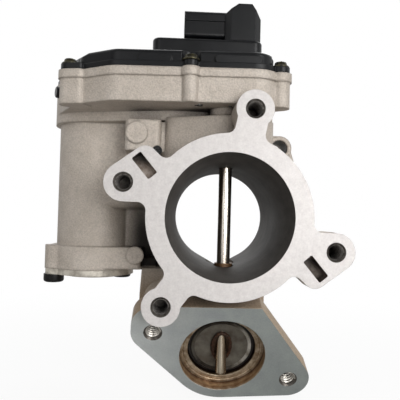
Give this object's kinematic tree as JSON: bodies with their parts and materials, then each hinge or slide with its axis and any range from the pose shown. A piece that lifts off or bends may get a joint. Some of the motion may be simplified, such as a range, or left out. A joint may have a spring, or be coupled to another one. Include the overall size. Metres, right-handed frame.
{
  "type": "egr valve",
  "caption": "Exhaust gas recirculation valve: cast housing with an air duct, a tilted exhaust port closed by a swinging flap, and an electric gear actuator under a moulded cover.",
  "frame": {"origin": "centre of the air bore on the machined face of the front air flange", "axes": "-Y out of the front air flange along the bore, +Z along the flap shaft towards the gear cover"},
  "size_m": [0.1462, 0.0939, 0.1897],
  "materials": {
    "cast_aluminium": "sand-blasted casting, machined faces",
    "heat_tinted_steel": "heat tinted",
    "bronze": "sintered",
    "bearing_steel": "ground",
    "seal_rubber": "matte",
    "spring_steel": "drawn",
    "zinc_plated_steel": "zinc plated",
    "ferrite": "matte",
    "gear_plastic": "natural",
    "contact_brass": "plain",
    "cover_plate_steel": "plated",
    "black_screw_steel": "black oxide",
    "black_plastic": "fine moulded grain",
    "dark_screw_steel": "olive zinc",
    "circuit_board": "solder mask",
    "bright_steel": "ground",
    "laminated_steel": "laminated"
  },
  "bodies": {
    "housing": {"valve_housing": "cast_aluminium", "port_sleeve": "heat_tinted_steel", "lower_guide_bush": "bronze", "upper_shaft_bearing": "bearing_steel", "shaft_seal": "seal_rubber", "return_spring": "spring_steel", "stop_pins": "bearing_steel", "compound_pin": "bearing_steel", "idler_pin": "bearing_steel", "motor_can": "zinc_plated_steel", "motor_magnets": "ferrite", "motor_end_cap": "gear_plastic", "motor_contacts": "contact_brass", "motor_wave_spring": "spring_steel", "motor_bottom_cover": "cover_plate_steel", "motor_cover_oring": "seal_rubber", "motor_cover_screws": "black_screw_steel", "body_plug": "black_screw_steel", "vent_plug": "black_plastic", "cover_gasket": "seal_rubber", "gear_cover": "black_plastic", "cover_screws": "dark_screw_steel", "sensor_board": "circuit_board", "connector_terminals": "contact_brass"},
    "flap": {"flap_shaft": "bright_steel", "flap_disc": "heat_tinted_steel", "sector_gear": "gear_plastic", "shaft_nut": "zinc_plated_steel", "sensor_magnet": "ferrite"},
    "compound": {"compound_pinion": "bearing_steel", "compound_gear": "gear_plastic"},
    "idler": {"idler_gear": "gear_plastic"},
    "rotor": {"motor_shaft": "bright_steel", "motor_pinion": "contact_brass", "motor_armature": "laminated_steel"}
  },
  "joints": [
    {"name": "flap_turn", "type": "hinge", "parent": "housing", "child": "flap", "pos_m": [0, 0.028, 0.06], "axis": [0, 0, 1], "range_deg": [0, 70], "stiffness_Nm_per_rad": 0.05, "springref_deg": -20.05},
    {"name": "compound_turn", "type": "hinge", "parent": "housing", "child": "compound", "pos_m": [-0.01852, 0.05348, 0.06], "axis": [0, 0, 1], "range_deg": [-270, 1]},
    {"name": "idler_turn", "type": "hinge", "parent": "housing", "child": "idler", "pos_m": [-0.05351, 0.05324, 0.06], "axis": [0, 0, 1], "range_deg": [-1, 517]},
    {"name": "rotor_turn", "type": "hinge", "parent": "housing", "child": "rotor", "pos_m": [-0.06758, 0.06447, 0.06], "axis": [0, 0, 1], "range_deg": [-1033, 1]}
  ],
  "couplings": [
    {"joint": "compound_turn", "follows": "flap_turn", "ratio": -3.8462},
    {"joint": "idler_turn", "follows": "flap_turn", "ratio": 7.3718},
    {"joint": "rotor_turn", "follows": "flap_turn", "ratio": -14.744}
  ]
}
